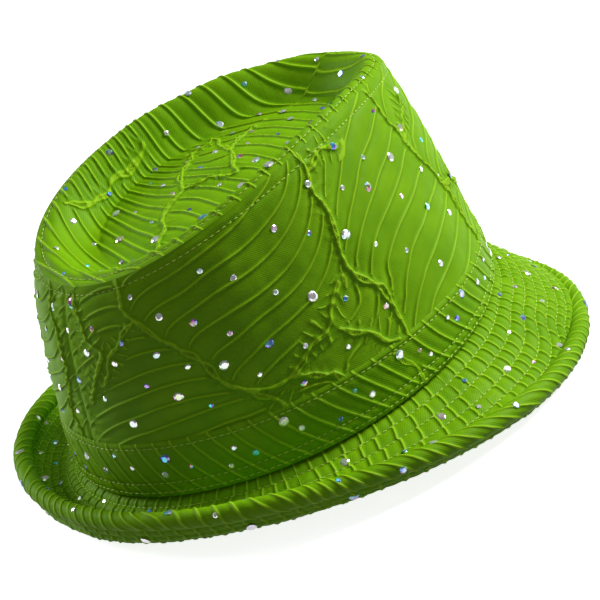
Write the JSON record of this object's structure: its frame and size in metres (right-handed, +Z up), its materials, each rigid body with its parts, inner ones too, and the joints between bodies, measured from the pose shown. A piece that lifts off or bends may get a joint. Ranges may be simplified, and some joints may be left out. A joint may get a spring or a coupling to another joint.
{
  "type": "short-brimmed dress hat",
  "caption": "Soft dress hat with a dented oval tip, a sewn band and a stitched brim, turned down in front and rolled up behind, worn on the head.",
  "frame": {"origin": "centre of the hat's plan box, at the height of the lowest places of its brim", "axes": "+Z up, +Y towards the back of the head, +X towards the wearer's left"},
  "size_m": [0.2564, 0.2628, 0.1361],
  "materials": {
    "tucked_satin": "satin with sewn tucks",
    "thread": "polyester topstitching thread",
    "foil": "holographic foil dots",
    "buckram": "stiff woven interlining",
    "cord": "soft cotton filler cord",
    "lining": "plain smooth lining",
    "sweatband": "ribbed cotton band",
    "elastic": "woven elastic",
    "label": "blank satin tape"
  },
  "bodies": {
    "root": {"crown_tip": "tucked_satin", "crown_side": "tucked_satin", "hat_band": "tucked_satin", "brim_top": "tucked_satin", "brim_interlining": "buckram", "brim_under": "tucked_satin", "edge_binding": "tucked_satin", "edge_cord": "cord", "tip_stiffener": "buckram", "side_stiffener": "buckram", "tip_lining": "lining", "side_lining": "lining", "sweatband": "sweatband", "sweatband_elastic": "elastic", "care_label": "label", "tip_seam_topstitch": "thread", "band_topstitch": "thread", "brim_topstitch": "thread", "tip_dots": "foil", "side_dots": "foil", "band_dots": "foil", "brim_dots": "foil", "under_brim_dots": "foil", "edge_dots": "foil"}
  },
  "joints": []
}
